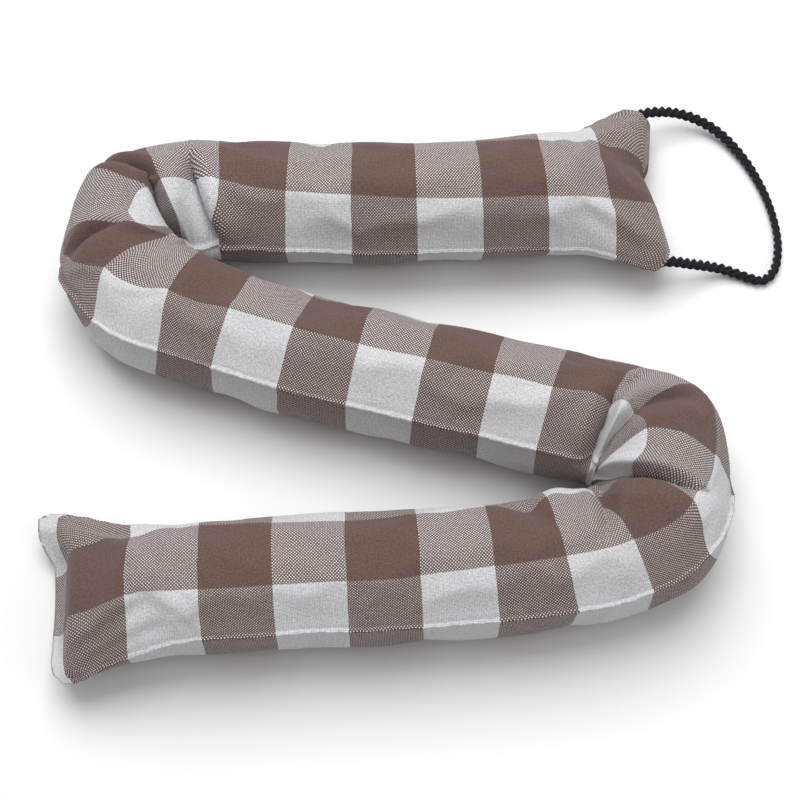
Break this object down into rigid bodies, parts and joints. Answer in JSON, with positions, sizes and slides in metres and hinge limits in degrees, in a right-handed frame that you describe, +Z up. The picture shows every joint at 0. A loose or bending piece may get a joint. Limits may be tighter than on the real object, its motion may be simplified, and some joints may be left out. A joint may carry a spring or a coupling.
{
  "type": "draught excluder",
  "caption": "Stuffed check cloth tube for the foot of a door, folded into an S as it lies on a table, with sewn flat ends and a dark cord loop to hang it by.",
  "frame": {"origin": "under the middle of the tube's box, on the surface that it lies on, measured without the cord loop", "axes": "+Z up from the surface; +X along the front leg, from the stitched end towards the right bend; +Y from the front leg towards the upper leg"},
  "size_m": [0.325, 0.2764, 0.051],
  "materials": {
    "check_cloth": "matte coarse woven check in brown and off-white",
    "dark_cord": "matte knobbly textile cord"
  },
  "bodies": {
    "root": {"body": "check_cloth", "hanging_loop": "dark_cord"}
  },
  "joints": []
}
